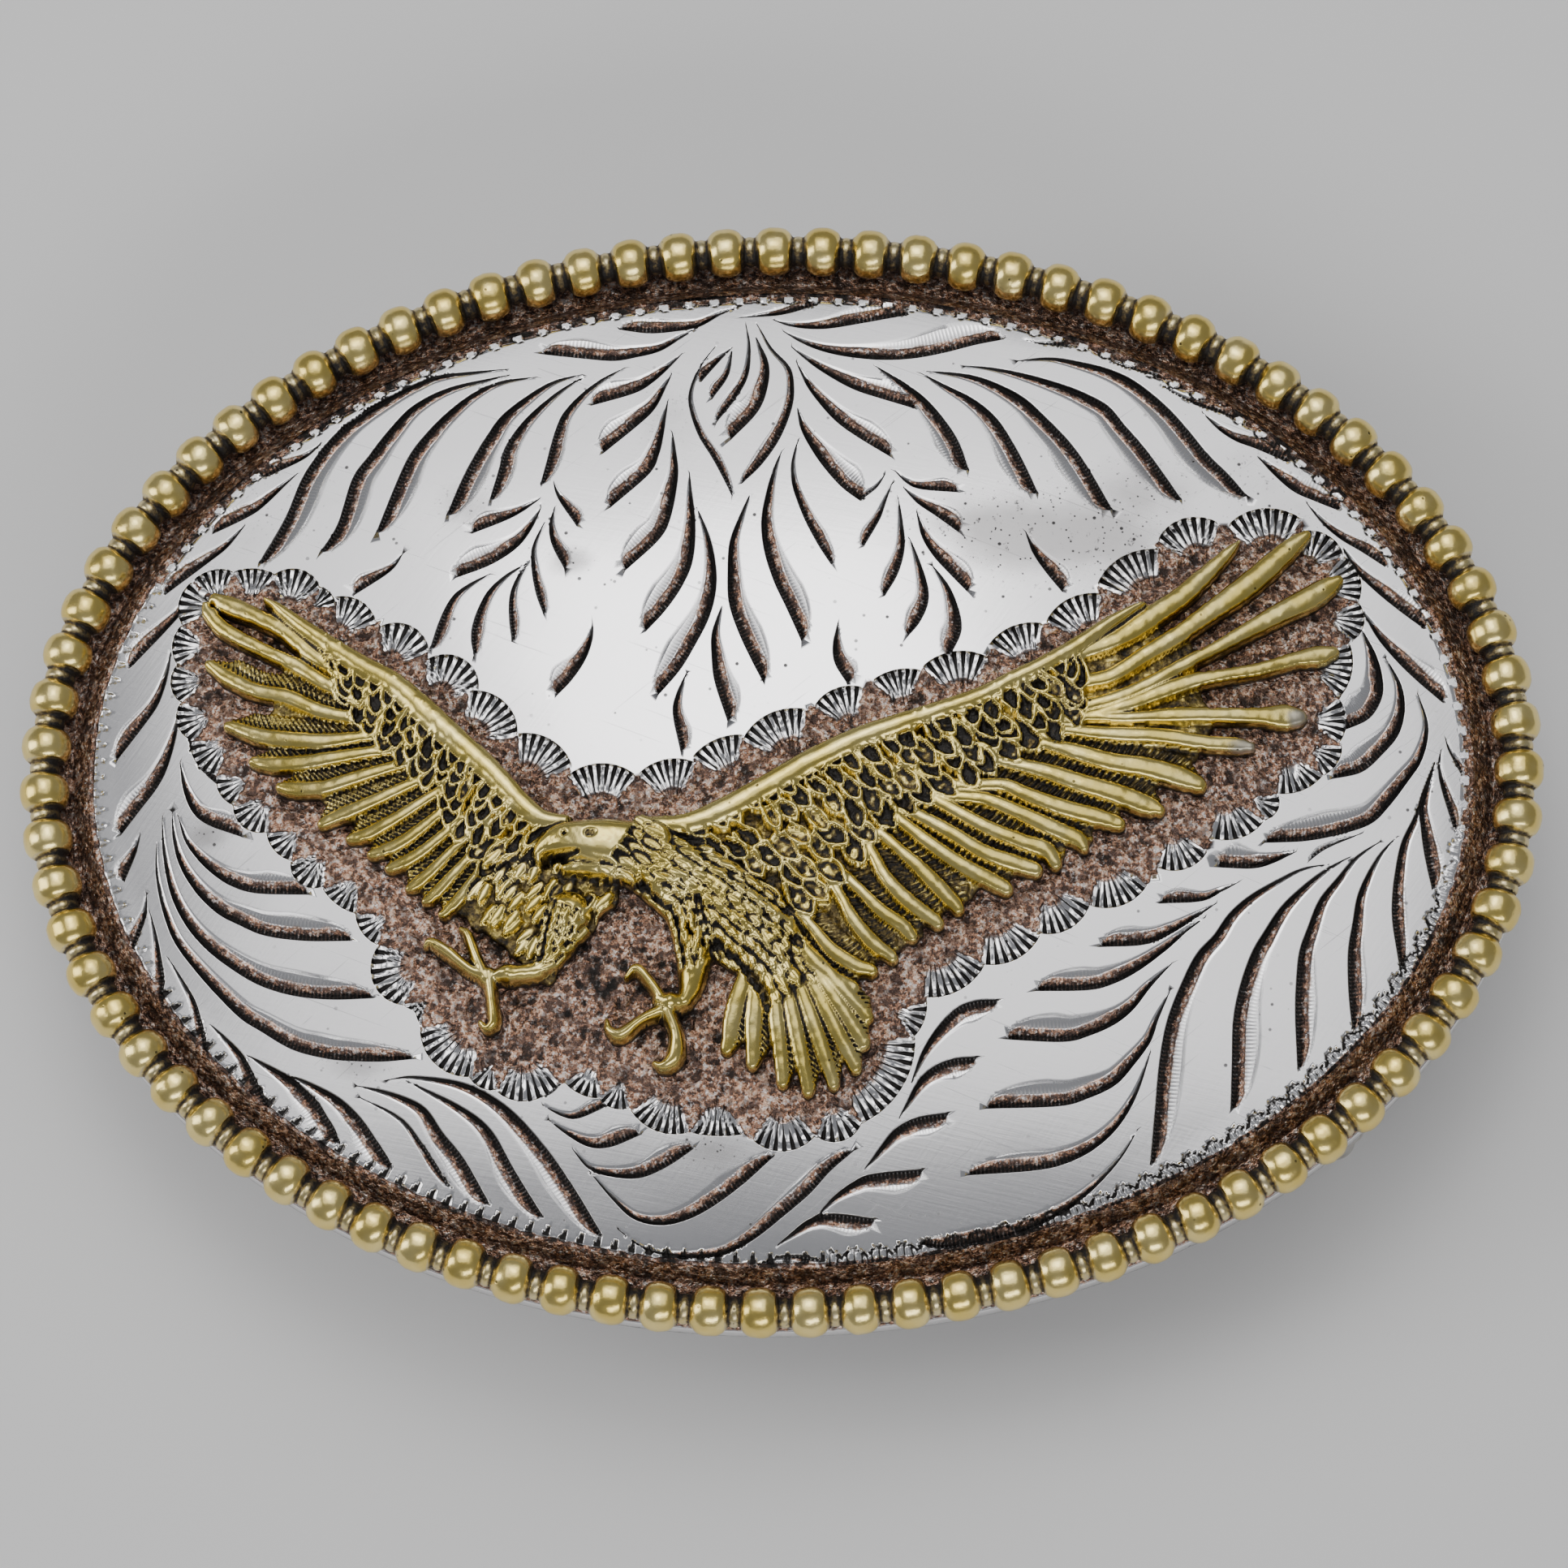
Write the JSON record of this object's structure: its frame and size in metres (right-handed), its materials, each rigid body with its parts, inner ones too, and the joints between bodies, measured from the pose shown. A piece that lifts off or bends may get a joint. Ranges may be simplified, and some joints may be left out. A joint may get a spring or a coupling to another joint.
{
  "type": "western trophy buckle",
  "caption": "Domed oval belt buckle with a beaded edge and a raised spread-winged eagle, with a fixed wire loop and a hook post on its back.",
  "frame": {"origin": "on the surface the buckle lies on, under the middle of its bounding box", "axes": "+X along the buckle's length, to the right as the eagle is seen upright; +Y up the face; +Z out of the face"},
  "size_m": [0.092, 0.07, 0.0176],
  "materials": {
    "silver": "bright-cut engraved silver, oxidised in its cuts",
    "gilt_beads": "worn gilt over silver",
    "gold_eagle": "polished cast brass, oxidised in its recesses",
    "back_hardware": "satin nickel silver"
  },
  "bodies": {
    "root": {"plate": "silver", "bead_edge": "gilt_beads", "eagle": "gold_eagle", "belt_loop": "back_hardware", "hook_post": "back_hardware"}
  },
  "joints": []
}
